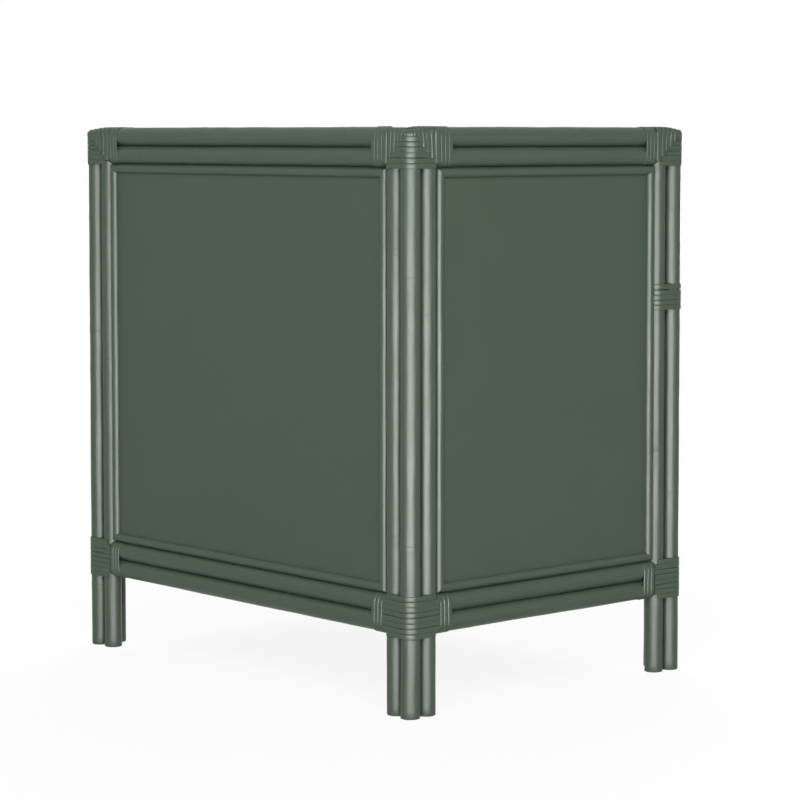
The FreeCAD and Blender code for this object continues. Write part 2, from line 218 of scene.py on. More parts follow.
class Graph:
    """The nodes of one material or of the world."""

    def __init__(self, owner: bpy.types.Material | bpy.types.World) -> None:
        """Starts with no nodes.

        Args:
            owner: The new material or world.
        """
        owner.use_nodes = True
        self.owner = owner
        self.tree = owner.node_tree
        self.tree.nodes.clear()

    def node(self, kind: str, settings: dict | None = None, sockets: dict | None = None) -> bpy.types.Node:
        """Adds one node.

        Args:
            kind: The node's type.
            settings: What is set on the node first.
            sockets: Values or links for its inputs, by name or number.

        Returns:
            The node.
        """
        made = self.tree.nodes.new(kind)
        for key, value in (settings or {}).items():
            setattr(made, key, value)
        for key, value in (sockets or {}).items():
            if isinstance(value, Signal):
                value = value.socket
            if isinstance(value, bpy.types.NodeSocket):
                self.tree.links.new(value, made.inputs[key])
            else:
                made.inputs[key].default_value = value
        return made

    def place(self) -> bpy.types.NodeSocket:
        """The point on the piece, in metres."""
        return self.node("ShaderNodeTexCoord").outputs["Object"]

    def cloud(self, point: bpy.types.NodeSocket, scale: float, detail: float = 3.0) -> Signal:
        """A noise from 0 to 1.

        Args:
            point: Where the noise is read.
            scale: Its marks per unit of the point.
            detail: How many finer layers it has.

        Returns:
            The noise.
        """
        made = self.node("ShaderNodeTexNoise", None, {"Vector": point, "Scale": scale, "Detail": detail})
        return Signal(self, made.outputs[0])

    def drawn(self, point: bpy.types.NodeSocket, marks: Sequence[float]) -> bpy.types.NodeSocket:
        """A point stretched so that a noise of scale 1 has this many marks per metre on each axis.

        Args:
            point: The point on the piece.
            marks: Marks per metre on the three axes.

        Returns:
            The stretched point.
        """
        return self.node("ShaderNodeMapping", None, {"Vector": point, "Scale": marks}).outputs[0]

    def mix(self, share: Signal, first: Colour, second: Colour) -> bpy.types.NodeSocket:
        """A colour between two others.

        Args:
            share: 0 for the first colour, 1 for the second.
            first: The first colour.
            second: The second colour.

        Returns:
            The mixed colour.
        """
        sockets = {0: share, 6: (*first, 1.0), 7: (*second, 1.0)}
        return self.node("ShaderNodeMix", {"data_type": "RGBA"}, sockets).outputs[2]

    def relief(self, height: Signal, depth: float) -> bpy.types.NodeSocket:
        """A surface that follows a height.

        Args:
            height: The height, from 0 to 1.
            depth: What 1 stands for, in metres.

        Returns:
            The bent normal.
        """
        return self.node("ShaderNodeBump", None, {"Distance": depth, "Height": height}).outputs[0]

    def surface(self, sockets: dict) -> bpy.types.Material:
        """Ends the material with its shader.

        Args:
            sockets: The shader's values and links.

        Returns:
            The material.
        """
        shader = self.node("ShaderNodeBsdfPrincipled", None, sockets)
        self.node("ShaderNodeOutputMaterial", None, {"Surface": shader.outputs[0]})
        return self.owner


def tinted(colour: Colour, factor: float) -> Colour:
    """A colour made lighter or darker."""
    return tuple(channel * factor for channel in colour)


@dataclass(frozen=True)
class Finish(ABC):
    """A finish of the record.

    Attributes:
        name: The material's name.
        slot: The record's name for the finish; not used.
    """

    name: str
    slot: Slot

    @abstractmethod
    def sockets(self, graph: Graph) -> dict:
        """The shader's values and links on a new material's graph."""

    def material(self) -> bpy.types.Material:
        """The material, made when it is first asked for.

        Returns:
            The material.
        """
        known = bpy.data.materials.get(self.name)
        if known:
            return known
        graph = Graph(bpy.data.materials.new(self.name))
        return graph.surface(self.sockets(graph))


@dataclass(frozen=True)
class SatinPaint(Finish):
    """Satin paint whose film shows the marks of what it covers.

    Attributes:
        grain: Marks per metre under the paint, on each axis.
        depth: How deep the marks are, in metres.
        colour: The paint's colour.
        roughness: How matt the film is.
        gloss: How strongly it mirrors.
        mottle: How far the colour strays.
        blotches: Broad blotches per metre.
        specks: Fine specks per metre in the film.
        fibre_share: How much of the colour's stray follows the marks, the rest following the blotches.
        film_share: How much of the relief is the film's own, the rest being the marks'.
        blotch_matt: How far the blotches change the roughness.
        fibre_matt: How far the marks change it.
    """

    grain: tuple[float, float, float]
    depth: float
    colour: Colour = (0.045, 0.0695, 0.045)
    roughness: float = 0.46
    gloss: float = 0.27
    mottle: float = 0.14
    blotches: float = 17.0
    specks: float = 520.0
    fibre_share: float = 0.55
    film_share: float = 0.2
    blotch_matt: float = 0.12
    fibre_matt: float = 0.1

    def sockets(self, graph: Graph) -> dict:
        """Mottled paint over a marked ground.

        Args:
            graph: The material's nodes.

        Returns:
            The shader's values and links.
        """
        point = graph.place()
        fibre = graph.cloud(graph.drawn(point, self.grain), 1.0, 4.0)
        blotch = graph.cloud(point, self.blotches)
        film = graph.cloud(point, self.specks, 2.0)
        shade = self.fibre_share * fibre + (1 - self.fibre_share) * blotch
        light, dark = tinted(self.colour, 1 + self.mottle), tinted(self.colour, 1 - self.mottle)
        uneven = self.blotch_matt * (blotch - NOISE_MIDDLE)
        return {
            "Base Color": graph.mix(shade, dark, light),
            "Roughness": self.roughness + uneven + self.fibre_matt * (fibre - NOISE_MIDDLE),
            "Specular IOR Level": self.gloss,
            "Normal": graph.relief((1 - self.film_share) * fibre + self.film_share * film, self.depth),
        }


@dataclass(frozen=True)
class BareWood(Finish):
    """Sealed plywood and battens with their grain.

    Attributes:
        grain: Marks per metre on each axis.
        pale: The wood between the grain lines.
        dark: The grain lines.
        roughness: How matt the wood is.
        pores: Pores to one mark of the grain.
        pore_share: How much of the figure is pores.
        pore_matt: How far the pores change the roughness.
        depth: How deep the figure is, in metres.
    """

    grain: tuple[float, float, float]
    pale: Colour = (0.56, 0.40, 0.24)
    dark: Colour = (0.36, 0.22, 0.11)
    roughness: float = 0.46
    pores: float = 6.0
    pore_share: float = 0.25
    pore_matt: float = 0.2
    depth: float = 0.12 * MM

    def sockets(self, graph: Graph) -> dict:
        """Wood with grain lines and pores.

        Args:
            graph: The material's nodes.

        Returns:
            The shader's values and links.
        """
        point = graph.drawn(graph.place(), self.grain)
        line = graph.cloud(point, 1.0, 6.0)
        pore = graph.cloud(point, self.pores, 2.0)
        figure = (1 - self.pore_share) * line + self.pore_share * pore
        return {
            "Base Color": graph.mix(figure, self.dark, self.pale),
            "Roughness": self.roughness + self.pore_matt * (pore - NOISE_MIDDLE),
            "Normal": graph.relief(figure, self.depth),
        }


@dataclass(frozen=True)
class ZincSteel(Finish):
    """Zinc-plated steel with fine brush marks.

    Attributes:
        grain: Brush marks per metre on each axis.
        colour: The metal's colour.
        mark: The colour of a brush mark, as a share of the metal's.
        roughness: How matt the metal is.
        mark_matt: How much more matt a brush mark is.
    """

    grain: tuple[float, float, float]
    colour: Colour = (0.58, 0.58, 0.56)
    mark: float = 0.85
    roughness: float = 0.3
    mark_matt: float = 0.15

    def sockets(self, graph: Graph) -> dict:
        """Brushed metal.

        Args:
            graph: The material's nodes.

        Returns:
            The shader's values and links.
        """
        brush = graph.cloud(graph.drawn(graph.place(), self.grain), 1.0)
        return {
            "Base Color": graph.mix(brush, tinted(self.colour, self.mark), self.colour),
            "Metallic": 1.0,
            "Roughness": self.roughness + self.mark_matt * brush,
        }


POLE_PAINT = {
    axis: SatinPaint(f"pole_paint_{axis.name.lower()}", Slot.RATTAN, axis.grain(16.0, 620.0), 0.16 * MM)
    for axis in Axis
}
PEEL_PAINT = {
    axis: SatinPaint(f"peel_paint_{axis.name.lower()}", Slot.RATTAN, axis.grain(1300.0, 30.0), 0.14 * MM)
    for axis in Axis
}
BOARD_PAINT = SatinPaint(
    "board_paint", Slot.BOARD, (240.0, 240.0, 240.0), 0.05 * MM,
    colour=(0.0485, 0.073, 0.0485), roughness=0.5, gloss=0.18, mottle=0.09,
)
SIDE_WOOD = BareWood("wood_along_y", Slot.WOOD, Axis.Y.grain(5.0, 150.0))
CROSS_WOOD = BareWood("wood_along_x", Slot.WOOD, Axis.X.grain(5.0, 150.0))
SCREW_STEEL = ZincSteel("screw_steel", Slot.STEEL, Axis.Y.grain(200.0, 3000.0))


def dress(piece: Piece, finish: Finish) -> None:
    """Gives a piece one finish."""
    piece.data.materials.clear()
    piece.data.materials.append(finish.material())


def set_in(piece: Piece, body: str, finish: Finish, node: str) -> Piece:
    """Finishes a piece, ties it to a body and lets it stand for a node.

    Args:
        piece: The finished mesh.
        body: The body it moves with.
        finish: Its finish.
        node: The node that it stands for.

    Returns:
        The same piece.
    """
    dress(piece, finish)
    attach(piece, body)
    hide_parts(node)
    return piece


class Bench:
    """Hand tools on meshes that leave the selection and the mode tidy."""

    @staticmethod
    def clear() -> None:
        """Lets go of everything that is selected."""
        bpy.ops.object.select_all(action="DESELECT")

    @staticmethod
    def hold(piece: Piece) -> None:
        """Takes one piece in hand.

        Args:
            piece: The piece.
        """
        Bench.clear()
        piece.select_set(True)
        bpy.context.view_layer.objects.active = piece

    @staticmethod
    def new(name: str) -> Piece:
        """Names the primitive that was just added and settles its place into its mesh.

        Args:
            name: The piece's name.

        Returns:
            The piece.
        """
        piece = bpy.context.object
        piece.name = name
        piece.data.name = name
        bpy.ops.object.transform_apply(location=True, rotation=True, scale=True)
        return piece

    @staticmethod
    @contextmanager
    def editing(piece: Piece, mode: str = "FACE") -> Iterator[None]:
        """Works on a piece's mesh with all of it selected.

        Args:
            piece: The piece.
            mode: VERT, EDGE or FACE.
        """
        Bench.hold(piece)
        bpy.ops.object.mode_set(mode="EDIT")
        bpy.ops.mesh.select_mode(type=mode)
        bpy.ops.mesh.select_all(action="SELECT")
        yield
        bpy.ops.object.mode_set(mode="OBJECT")

    @staticmethod
    def pick_edges(piece: Piece, test: Callable[[bmesh.types.BMEdge], bool]) -> None:
        """Selects only the edges that pass a test.

        Args:
            piece: The piece being edited.
            test: Says whether an edge is taken.
        """
        bpy.ops.mesh.select_all(action="DESELECT")
        mesh = bmesh.from_edit_mesh(piece.data)
        for edge in mesh.edges:
            if test(edge):
                edge.select_set(True)
        bmesh.update_edit_mesh(piece.data)

    @staticmethod
    def slice(point: Vector, normal: Vector, trim: bool = False) -> None:
        """Cuts the mesh being edited along a plane.

        Args:
            point: A point on the plane.
            normal: The plane's normal.
            trim: Takes away what lies beyond the plane and closes the cut.
        """
        bpy.ops.mesh.select_all(action="SELECT")
        bpy.ops.mesh.bisect(plane_co=point, plane_no=normal, clear_outer=trim, use_fill=trim)

    @staticmethod
    def smooth(piece: Piece, degrees: float = 42.0) -> None:
        """Shades a piece round across all but its sharp edges."""
        Bench.hold(piece)
        bpy.ops.object.shade_smooth_by_angle(angle=math.radians(degrees))

    @staticmethod
    def join(name: str, parts: Sequence[Piece]) -> Piece:
        """Makes one piece of several.

        Args:
            name: The joined piece's name.
            parts: What is joined.

        Returns:
            The joined piece.
        """
        Bench.hold(parts[0])
        for part in parts:
            part.select_set(True)
        if len(parts) > 1:
            bpy.ops.object.join()
        parts[0].name = name
        parts[0].data.name = name
        return parts[0]


def rod(name: str, start: Vector, end: Vector, radius: float, sides: int, step: float) -> Piece:
    """A round stick with rings along it, ready to be shaped.

    Args:
        name: The piece's name.
        start: One end of its axis.
        end: The other end.
        radius: Its radius.
        sides: How many sides stand for its round.
        step: The length from ring to ring.

    Returns:
        The stick.
    """
    run = end - start
    lean = Axis.Z.vector.rotation_difference(run).to_euler()
    Bench.clear()
    bpy.ops.mesh.primitive_cylinder_add(
        vertices=sides, radius=radius, depth=run.length, location=(start + end) / 2, rotation=lean
    )
    piece = Bench.new(name)
    with Bench.editing(piece, "EDGE"):
        Bench.pick_edges(piece, lambda edge: edge.calc_length() > run.length / 2)
        bpy.ops.mesh.subdivide(number_cuts=max(1, round(run.length / step) - 1))
    return piece


@dataclass(frozen=True)
class Stray:
    """How far natural rattan strays from a true cylinder.

    Attributes:
        sway: How far the axis wanders, in metres.
        swell: How far the skin ripples.
        ridge: How high the ring at a knot stands.
        groove: How deep the line in that ring is.
        knot_gap: The least and greatest length between knots.
        first_knot: The least length from a pole's start to its first knot.
        ridge_half: Half the ring's width.
        groove_half: Half the line's width.
        sway_rate: How often the axis wanders, per metre.
        ripple_rate: How often the skin ripples, per metre.
        ripple_round: How often it does so round the pole.
        fine_rate: How often a finer ripple comes, per metre.
        fine_round: How often it does so round the pole.
        fine_share: How high the finer ripple is, as a share of the other.
    """

    sway: float = 0.32 * MM
    swell: float = 0.24 * MM
    ridge: float = 0.22 * MM
    groove: float = 0.25 * MM
    knot_gap: tuple[float, float] = (0.2, 0.38)
    first_knot: float = 0.04
    ridge_half: float = 2.6 * MM
    groove_half: float = 0.55 * MM
    sway_rate: float = 9.0
    ripple_rate: float = 26.0
    ripple_round: float = 1.2
    fine_rate: float = 60.0
    fine_round: float = 2.6
    fine_share: float = 0.5

    def knots(self, length: float, seed: int) -> list[float]:
        """Places of the knots along a pole.

        Args:
            length: The pole's length.
            seed: Keeps each pole's knots its own.

        Returns:
            Lengths from the pole's start.
        """
        dice = random.Random(seed)
        places = [dice.uniform(self.first_knot, self.knot_gap[1])]
        while places[-1] < length:
            places.append(places[-1] + dice.uniform(*self.knot_gap))
        return places[:-1]

    def ring(self, gap: float) -> float:
        """The height of the skin at a distance from a knot."""
        bump = self.ridge * math.exp(-((gap / self.ridge_half) ** 2))
        return bump - self.groove * math.exp(-((gap / self.groove_half) ** 2))

    def cut_rings(self, piece: Piece, start: Vector, along: Vector, knots: Sequence[float]) -> None:
        """Adds the rings of points that a knot's line needs.

        Args:
            piece: The pole.
            start: The start of its axis.
            along: Its direction.
            knots: Its knots.
        """
        with Bench.editing(piece):
            for knot in knots:
                for step in range(-2, 3):
                    Bench.slice(start + along * (knot + step * self.groove_half), along)

    def apply(self, piece: Piece, start: Vector, along: Vector, knots: Sequence[float], seed: int) -> None:
        """Moves a pole's points off the true cylinder.

        Args:
            piece: The pole.
            start: The start of its axis.
            along: Its direction.
            knots: Its knots.
            seed: Keeps each pole's stray its own.
        """
        offset = drift(seed, POLE_DRIFT)
        for point in piece.data.vertices:
            reach = (point.co - start).dot(along)
            spoke = point.co - start - along * reach
            if spoke.length < MM:
                continue
            outward = spoke.normalized()
            wander = noise.noise_vector(along * (reach * self.sway_rate) + offset) * self.sway
            ripple = noise.noise(outward * self.ripple_round + along * (reach * self.ripple_rate) + offset)
            fine = noise.noise(outward * self.fine_round + along * (reach * self.fine_rate) - offset)
            skin = (ripple + self.fine_share * fine) * self.swell
            skin += sum(self.ring(reach - knot) for knot in knots)
            point.co += outward * skin + wander - along * wander.dot(along)


@dataclass(frozen=True)
class Layout:
    """Places of the case that the bindings are laid out from, read off the frame and seen from its middle.

    Attributes:
        middle: The middle of the case on the floor.
        out: The outer faces of the poles, along x and y.
        corner: The axis of a corner pole.
        corner_r: Its radius.
        flank: The axes of the poles beside it, along x on the front and back and along y on the sides.
        flank_r: Their radius.
        set_back: How far their outer faces lie behind the corner pole's.
        rail: The axes of the rails, along x on the sides and along y on the front and back.
        rail_r: Their radius.
        foot_rails: The heights of the two bottom rails.
        head_rails: The heights of the two top rails.
        mid_rail: The height of the front's middle rail.
        batten_back: The back of the batten behind that rail.
        post_top: The height of the posts.
    """

    middle: Vector
    out: Vector
    corner: Vector
    corner_r: float
    flank: Vector
    flank_r: float
    set_back: float
    rail: Vector
    rail_r: float
    foot_rails: tuple[float, float]
    head_rails: tuple[float, float]
    mid_rail: float
    batten_back: float
    post_top: float

    @classmethod
    def read(cls) -> "Layout":
        """Reads the places off the frame.

        Returns:
            The layout.
        """
        back, front = centre("post_back_right_corner_pole"), centre("post_front_left_corner_pole")
        middle = ((back + front) / 2).to_2d().to_3d()
        corner = back - middle
        corner_r = span("post_back_right_corner_pole").x / 2
        corner_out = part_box("post_back_right_corner_pole")[1]
        flank_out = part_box("post_back_right_back_pole")[1]
        flank_x = centre("post_back_right_back_pole").x - middle.x
        flank_y = centre("post_back_right_right_pole").y - middle.y
        rail_x = centre("right_bottom_rail_lower").x - middle.x
        rail_y = centre("back_bottom_rail_lower").y - middle.y
        return cls(
            middle=middle,
            out=Vector((corner.x + corner_r, corner.y + corner_r, 0)),
            corner=Vector((corner.x, corner.y, 0)),
            corner_r=corner_r,
            flank=Vector((flank_x, flank_y, 0)),
            flank_r=span("post_back_right_back_pole").x / 2,
            set_back=corner_out.y - flank_out.y,
            rail=Vector((rail_x, rail_y, 0)),
            rail_r=span("back_bottom_rail_lower").z / 2,
            foot_rails=(centre("back_bottom_rail_lower").z, centre("back_bottom_rail_upper").z),
            head_rails=(centre("back_top_rail_lower").z, centre("back_top_rail_upper").z),
            mid_rail=centre("front_mid_rail").z,
            batten_back=middle.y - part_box("mid_rail_batten")[1].y,
            post_top=corner_out.z,
        )

    @property
    def flank_edge(self) -> Vector:
        """The edges of a post, along x on the front and back and along y on the sides."""
        return self.flank - Vector((self.flank_r, self.flank_r, 0))

    @property
    def reach(self) -> float:
        """How far a post reaches in from the outer corner."""
        return self.out.x - self.flank_edge.x

    @property
    def flank_reach(self) -> float:
        """How far in from the outer corner the axes of the poles beside the corner pole lie."""
        return self.out.x - self.flank.x

    @property
    def taut(self) -> float:
        """The slope of a strip that is drawn taut over a corner pole and the pole beside it.

        Returns:
            The slope, in radians.
        """
        drop = self.set_back + self.flank_r - self.corner_r
        gap = self.flank_reach - self.corner_r
        return math.atan2(drop, gap) + math.asin((self.corner_r - self.flank_r) / math.hypot(gap, drop))


@dataclass
class Posts:
    """The twelve poles of the four posts.

    Attributes:
        stray: How far they stray from true cylinders.
        sides: Sides that stand for a pole's round.
        step: The length from ring to ring.
        head_round: The rounding of a pole's head.
        head_facets: Facets across that rounding.
        crown_drop: How far a corner pole's head stops short under the strips that cross it.
        foot_round: The easing of its foot.
        foot_facets: Facets across that easing.
        seed: The first pole's seed.
    """

    stray: Stray
    sides: int = 44
    step: float = 9 * MM
    head_round: float = 8.2 * MM
    head_facets: int = 5
    crown_drop: float = 3.5 * MM
    foot_round: float = 0.9 * MM
    foot_facets: int = 2
    seed: int = 11

    def pole(self, node: str, seed: int) -> Piece:
        """One upright pole.

        Args:
            node: The node that it stands for.
            seed: Keeps its stray its own.

        Returns:
            The pole.
        """
        low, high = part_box(node)
        middle = (low + high) / 2
        drop = self.crown_drop if node.endswith("corner_pole") else 0.0
        start, end = Vector((middle.x, middle.y, low.z)), Vector((middle.x, middle.y, high.z - drop))
        piece = rod(f"rattan_{node}", start, end, (high.x - low.x) / 2, self.sides, self.step)
        near = self.step / 4
        head, foot = (end.z, self.head_round, self.head_facets), (start.z, self.foot_round, self.foot_facets)
        with Bench.editing(piece, "EDGE"):
            for height, rounding, segments in (head, foot):
                Bench.pick_edges(piece, lambda edge: all(abs(v.co.z - height) < near for v in edge.verts))
                bpy.ops.mesh.bevel(offset=rounding, segments=segments, affect="EDGES")
        along = Axis.Z.vector
        knots = [knot for knot in self.stray.knots(end.z - self.step, seed) if knot > self.step]
        self.stray.cut_rings(piece, start, along, knots)
        self.stray.apply(piece, start, along, knots, seed)
        Bench.smooth(piece)
        return set_in(piece, "case", POLE_PAINT[Axis.Z], node)

    def build(self) -> list[Piece]:
        """Makes all the poles.

        Returns:
            The poles, post by post.
        """
        names = []
        for corner in Corner:
            face, side = corner.word.split("_")
            names += [f"post_{corner.word}_{part}_pole" for part in ("corner", face, side)]
        return [self.pole(name, seed) for seed, name in enumerate(names, self.seed)]


@dataclass
class Rails:
    """The rails, whose ends are hollowed to sit round the posts.

    Attributes:
        stray: How far they stray from true cylinders.
        sides: Sides that stand for a rail's round.
        step: The length from ring to ring.
        seat: The gap between a rail's end and the pole that it sits on.
        tip_share: How far short of the pole's axis a rail's tips stop, as a share of the pole's radius.
        fill: How much fuller than its node a rail is drawn, to hide the slit at the panels' edges.
        seed: The first rail's seed.
    """

    stray: Stray
    sides: int = 44
    step: float = 9 * MM
    seat: float = 0.2 * MM
    tip_share: float = 0.45
    fill: float = 0.45 * MM
    seed: int = 41

    def rail(self, node: str, poles: tuple[str, str], axis: Axis, seed: int) -> Piece:
        """One rail between two poles.

        Args:
            node: The node that it stands for.
            poles: The poles at its two ends.
            axis: Its direction.
            seed: Keeps its stray its own.

        Returns:
            The rail.
        """
        middle, radius = centre(node), span(node).z / 2
        along = axis.vector
        other = Axis.Y if axis is Axis.X else Axis.X
        pole_r = span(poles[0]).x / 2
        ends = [centre(pole)[axis.index] for pole in poles]
        hollow = pole_r + self.seat
        start, end = middle.copy(), middle.copy()
        start[axis.index] = ends[0] + hollow
        end[axis.index] = ends[1] - hollow
        piece = rod(f"rattan_{node}", start, end, radius + self.fill, self.sides, self.step)
        length = (end - start).length
        knots = [knot for knot in self.stray.knots(length - self.step, seed) if knot > self.step]
        self.stray.cut_rings(piece, start, along, knots)
        self.stray.apply(piece, start, along, knots, seed)
        for point in piece.data.vertices:
            for side, pole, place in ((1, poles[0], start), (-1, poles[1], end)):
                if abs(point.co[axis.index] - place[axis.index]) > MM:
                    continue
                aside = point.co[other.index] - centre(pole)[other.index]
                depth = math.sqrt(max(hollow**2 - aside**2, 0.0))
                depth = max(depth, self.tip_share * pole_r)
                point.co[axis.index] = centre(pole)[axis.index] + side * depth
        Bench.smooth(piece)
        return set_in(piece, "case", POLE_PAINT[axis], node)

    @staticmethod
    def names(face: str) -> list[str]:
        """The nodes of a face's rails, from the bottom up and then, on the front, the middle one.

        Args:
            face: The face's word in the nodes' names.

        Returns:
            The nodes' names.
        """
        levels, layers = ("bottom", "top"), ("lower", "upper")
        nodes = [f"{face}_{level}_rail_{layer}" for level in levels for layer in layers]
        return [*nodes, "front_mid_rail"] if face == "front" else nodes

    def build(self) -> list[Piece]:
        """Makes all the rails.

        Returns:
            The rails, face by face.
        """
        runs = []
        for face in ("front", "back"):
            poles = (f"post_{face}_left_{face}_pole", f"post_{face}_right_{face}_pole")
            runs += [(node, poles, Axis.X) for node in self.names(face)]
        for side in ("left", "right"):
            poles = (f"post_front_{side}_{side}_pole", f"post_back_{side}_{side}_pole")
            runs += [(node, poles, Axis.Y) for node in self.names(side)]
        return [self.rail(*run, seed) for seed, run in enumerate(runs, self.seed)]


@dataclass
class BeadFrame:
    """Four half-round sticks, mitred into a frame on a face.

    Attributes:
        node: The node that the frame stands for.
        body: The body that it moves with.
        across: The direction along the face.
        out: The direction out of the face.
        stray: How far the sticks stray.
        seed: Keeps their stray their own.
        sides: Sides that stand for a whole round.
        step: The length from ring to ring.
    """

    node: str
    body: str
    across: Axis
    out: Vector
    stray: Stray
    seed: int
    sides: int = 32
    step: float = 8 * MM

    def stick(self, start: Vector, end: Vector, inward: Vector, radius: float, number: int) -> Piece:
        """One stick of the frame.

        Args:
            start: One end of its axis, on the face.
            end: The other end.
            inward: The direction to the middle of the frame.
            radius: Its radius.
            number: Its number in the frame.

        Returns:
            The mitred half-round.
        """
        along = (end - start).normalized()
        axis = Axis.Z if abs(along.z) > 0.5 else self.across
        piece = rod(f"{self.node}_stick_{number}", start, end, radius, self.sides, self.step)
        self.stray.apply(piece, start, along, (), self.seed + number)
        with Bench.editing(piece):
            Bench.slice(start, -self.out, trim=True)
            Bench.slice(start - inward * radius, inward - along, trim=True)
            Bench.slice(end - inward * radius, inward + along, trim=True)
        Bench.smooth(piece)
        return set_in(piece, self.body, POLE_PAINT[axis], self.node)

    def build(self) -> list[Piece]:
        """Makes the four sticks.

        Returns:
            The bottom, top, left and right stick.
        """
        low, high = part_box(self.node)
        depth = max(range(3), key=lambda index: abs(self.out[index]))
        face = low[depth] if self.out[depth] > 0 else high[depth]
        radius = high[depth] - low[depth]
        index = self.across.index

        def on_face(u: float, z: float) -> Vector:
            """A point on the face.

            Args:
                u: Its place across the face.
                z: Its height.

            Returns:
                The point.
            """
            point = Vector((0, 0, z))
            point[index] = u
            point[depth] = face
            return point

        left, right = low[index] + radius, high[index] - radius
        side, up = self.across.vector, Axis.Z.vector
        bottom, top = low.z + radius, high.z - radius
        runs = [
            (on_face(low[index], bottom), on_face(high[index], bottom), up),
            (on_face(low[index], top), on_face(high[index], top), -up),
            (on_face(left, low.z), on_face(left, high.z), side),
            (on_face(right, low.z), on_face(right, high.z), -side),
        ]
        return [self.stick(*run, radius, number) for number, run in enumerate(runs)]


class Section(Enum):
    """Half the outline of a strip's cut end, as shares of half its width and of its thickness."""

    SHAVED = ((1.0, 0.0), (1.0, 0.2), (0.79, 0.82), (0.7, 0.93), (0.4, 0.985))
    EASED = ((1.0, 0.0), (1.0, 0.6), (0.915, 0.88), (0.8, 0.965), (0.4, 0.99))
    FLAT = ((1.0, 0.0), (1.0, 0.48), (0.95, 0.82), (0.85, 0.945), (0.5, 0.988))

    @property
    def outline(self) -> list[tuple[float, float]]:
        """The whole outline."""
        return [*self.value, (0.0, 1.0), *((-wide, high) for wide, high in reversed(self.value))]


@dataclass
class PeelStrip:
    """A strip of peel that is drawn out along its path as it is laid.

    Attributes:
        piece: The strip so far.
        step: The length from ring to ring on straight runs.
        bend: The turn from ring to ring round a pole.
    """

    piece: Piece
    step: float = 4 * MM
    bend: float = math.radians(11.0)

    @classmethod
    def start(
        cls, at: Vector, across: Vector, out: Vector, width: float, thickness: float, section: Section
    ) -> "PeelStrip":
        """Begins a strip with its cut end, flat on the pole's side and eased on the other.

        Args:
            at: The middle of the cut end.
            across: The direction of its width.
            out: The direction of its thickness, away from the pole.
            width: Its width.
            thickness: Its thickness.
            section: The shape of its cut end.

        Returns:
            The strip, no longer yet than its cut end.
        """
        outline = section.outline
        Bench.clear()
        bpy.ops.mesh.primitive_circle_add(vertices=len(outline), fill_type="NGON")
        piece = Bench.new("peel_strip")
        for point, (wide, high) in zip(piece.data.vertices, outline):
            point.co = at + across * (wide * width / 2) + out * ((high - 0.5) * thickness)
        return cls(piece)

    def lay(self, *moves: Callable[[], None]) -> Piece:
        """Draws the strip out along its path.

        Args:
            moves: Straight runs and turns in order.

        Returns:
            The finished strip.
        """
        with Bench.editing(self.piece):
            for move in moves:
                move()
            bpy.ops.mesh.select_all(action="SELECT")
            bpy.ops.mesh.normals_make_consistent(inside=False)
        return self.piece

    def run(self, offset: Vector) -> Callable[[], None]:
        """A straight run by an offset."""
        count = max(1, math.ceil(offset.length / self.step))
        return lambda: bpy.ops.mesh.extrude_repeat(steps=count, offset=offset / count)

    def turn(self, middle: Vector, axis: Vector, angle: float) -> Callable[[], None]:
        """A turn round a pole; the operator counts angles the other way round.

        Args:
            middle: A point on the pole's axis.
            axis: The pole's direction.
            angle: The turn, in radians.

        Returns:
            The move.
        """
        count = max(2, math.ceil(abs(angle) / self.bend))
        return lambda: bpy.ops.mesh.spin(steps=count, angle=-angle, center=middle, axis=axis)


@dataclass(frozen=True)
class RowEnd:
    """An end of a strip that is laid round a post.

    Attributes:
        reach: How far in from the outer corner it lies flat.
        tuck: How far it then turns in round the pole there.
    """

    reach: float
    tuck: float = 0.0


@dataclass(frozen=True)
class CapStrip:
    """A strip over a post's head.

    Attributes:
        width: Its width.
        drop: How much lower than the post's top it lies.
        shoulder: The radius of its turn over the head.
        lean: How far it leans to the corner, as a share of its height.
    """

    width: float
    drop: float
    shoulder: float
    lean: float


